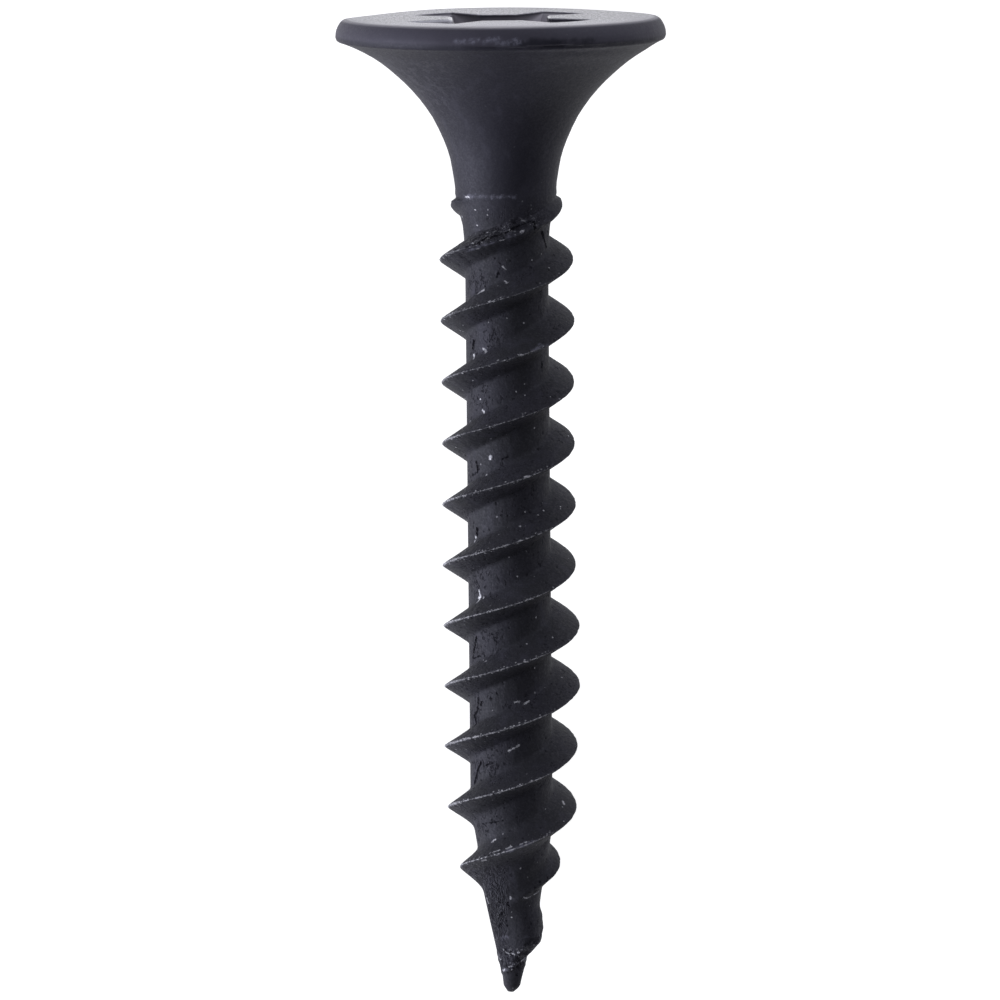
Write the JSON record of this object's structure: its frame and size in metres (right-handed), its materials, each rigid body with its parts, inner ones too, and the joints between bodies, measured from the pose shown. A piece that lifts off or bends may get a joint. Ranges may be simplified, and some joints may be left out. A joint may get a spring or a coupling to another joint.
{
  "type": "drywall screw",
  "caption": "Black phosphated drywall screw: bugle head with a cross recess, coarse twin thread and a sharp point, lying on its side.",
  "frame": {"origin": "on the surface that the screw lies on, under the middle of its bounding box", "axes": "+Y runs along the screw towards its head and +X across it; the axis rises 7.3 degrees towards the head, because the screw lies on its rim and a thread crest"},
  "size_m": [0.0082, 0.0252, 0.0082],
  "materials": {
    "screw": "matt black phosphate, worn to bare metal in specks along the thread crests"
  },
  "bodies": {
    "root": {"screw": "screw"}
  },
  "joints": []
}
